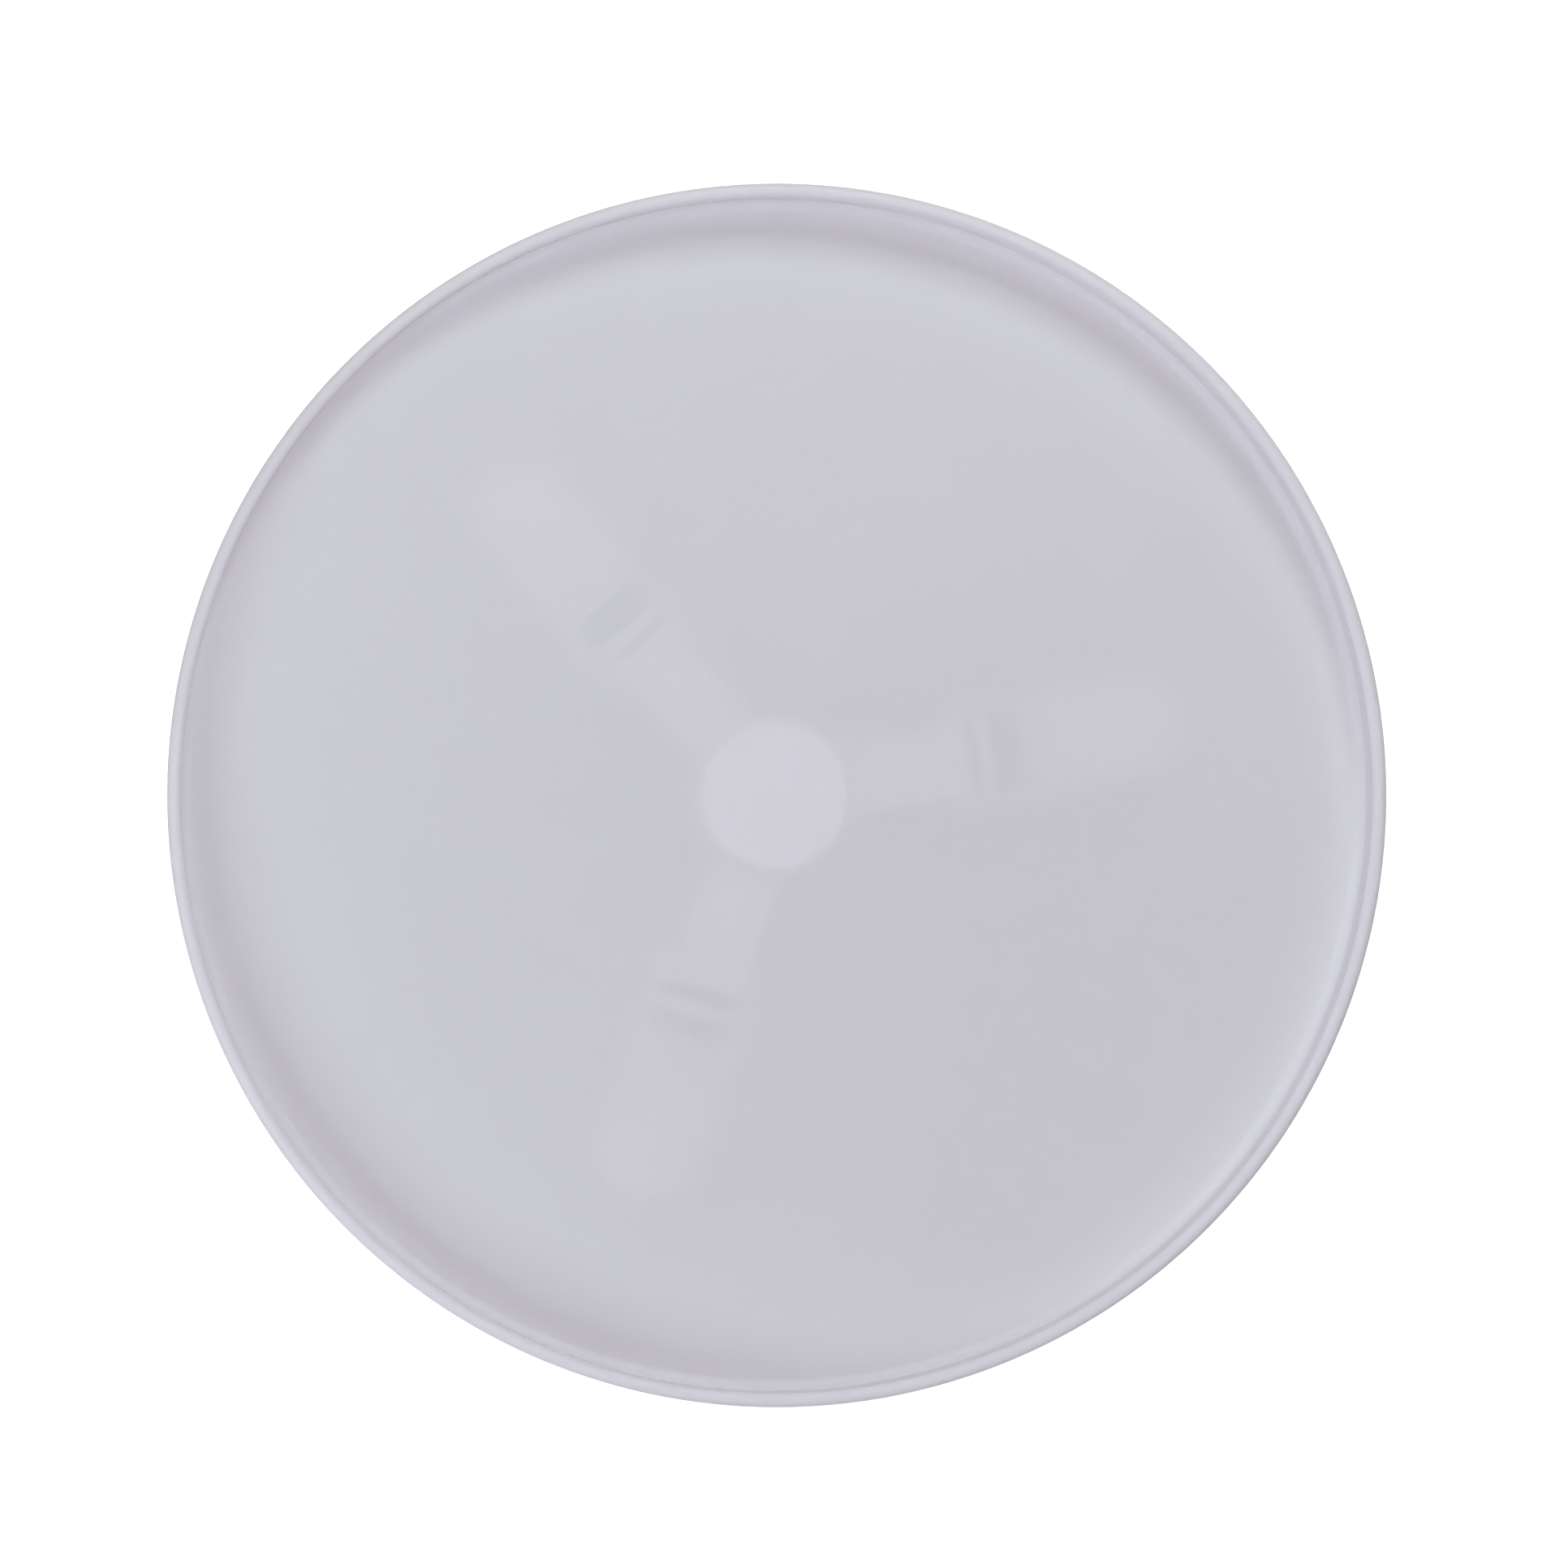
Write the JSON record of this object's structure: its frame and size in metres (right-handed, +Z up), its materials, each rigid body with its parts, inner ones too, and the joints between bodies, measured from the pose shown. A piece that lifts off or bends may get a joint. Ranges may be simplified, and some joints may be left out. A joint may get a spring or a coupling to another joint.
{
  "type": "lazy susan turntable",
  "caption": "Round frosted plastic turntable tray with a low raised rim, turning on a pin and rollers set in a three-armed base with rubber feet.",
  "frame": {"origin": "on the surface it stands on, under the middle of the tray", "axes": "+Z up along the tray's axis of rotation; +X to the right and +Y away from the reader, with the first arm of the base 11 degrees from +X towards +Y"},
  "size_m": [0.305, 0.305, 0.0419],
  "materials": {
    "frosted_plastic": "fine satin-frosted moulded plastic, translucent, light grey-lilac",
    "white_plastic": "moulded white plastic, slightly satin",
    "slippery_plastic": "smooth acetal bearing plastic",
    "tyre_rubber": "soft light grey rubber",
    "foot_rubber": "matte grey rubber",
    "bright_steel": "bright ground steel"
  },
  "bodies": {
    "base": {"base_frame": "white_plastic", "pivot_bush": "slippery_plastic", "upper_thrust_washer": "slippery_plastic", "lower_thrust_washer": "slippery_plastic", "hub_cover": "white_plastic", "roller_axle_1": "bright_steel", "roller_axle_2": "bright_steel", "roller_axle_3": "bright_steel", "axle_clip_1": "bright_steel", "axle_clip_2": "bright_steel", "axle_clip_3": "bright_steel", "foot_1_inner": "foot_rubber", "foot_1_outer": "foot_rubber", "foot_2_inner": "foot_rubber", "foot_2_outer": "foot_rubber", "foot_3_inner": "foot_rubber", "foot_3_outer": "foot_rubber"},
    "turntable": {"tray": "frosted_plastic", "tray_hub_disc": "white_plastic", "pivot_pin": "bright_steel", "retaining_screw": "bright_steel", "retaining_washer": "bright_steel"},
    "roller_1": {"roller_wheel_1": "white_plastic", "roller_tyre_1": "tyre_rubber"},
    "roller_2": {"roller_wheel_2": "white_plastic", "roller_tyre_2": "tyre_rubber"},
    "roller_3": {"roller_wheel_3": "white_plastic", "roller_tyre_3": "tyre_rubber"}
  },
  "joints": [
    {"name": "tray_spin", "type": "hinge", "parent": "base", "child": "turntable", "pos_m": [0, 0, 0.024], "axis": [0, 0, 1], "continuous": true},
    {"name": "roller_spin_1", "type": "hinge", "parent": "base", "child": "roller_1", "pos_m": [0.0533, 0.01036, 0.0142], "axis": [0.9816, 0.1908, 0], "continuous": true},
    {"name": "roller_spin_2", "type": "hinge", "parent": "base", "child": "roller_2", "pos_m": [-0.03562, 0.04098, 0.0142], "axis": [-0.6561, 0.7547, 0], "continuous": true},
    {"name": "roller_spin_3", "type": "hinge", "parent": "base", "child": "roller_3", "pos_m": [-0.01859, -0.05399, 0.0142], "axis": [-0.3256, -0.9455, 0], "continuous": true}
  ],
  "couplings": [
    {"joint": "roller_spin_1", "follows": "tray_spin", "ratio": -5.7158},
    {"joint": "roller_spin_2", "follows": "tray_spin", "ratio": -5.7158},
    {"joint": "roller_spin_3", "follows": "tray_spin", "ratio": -6.0105}
  ]
}
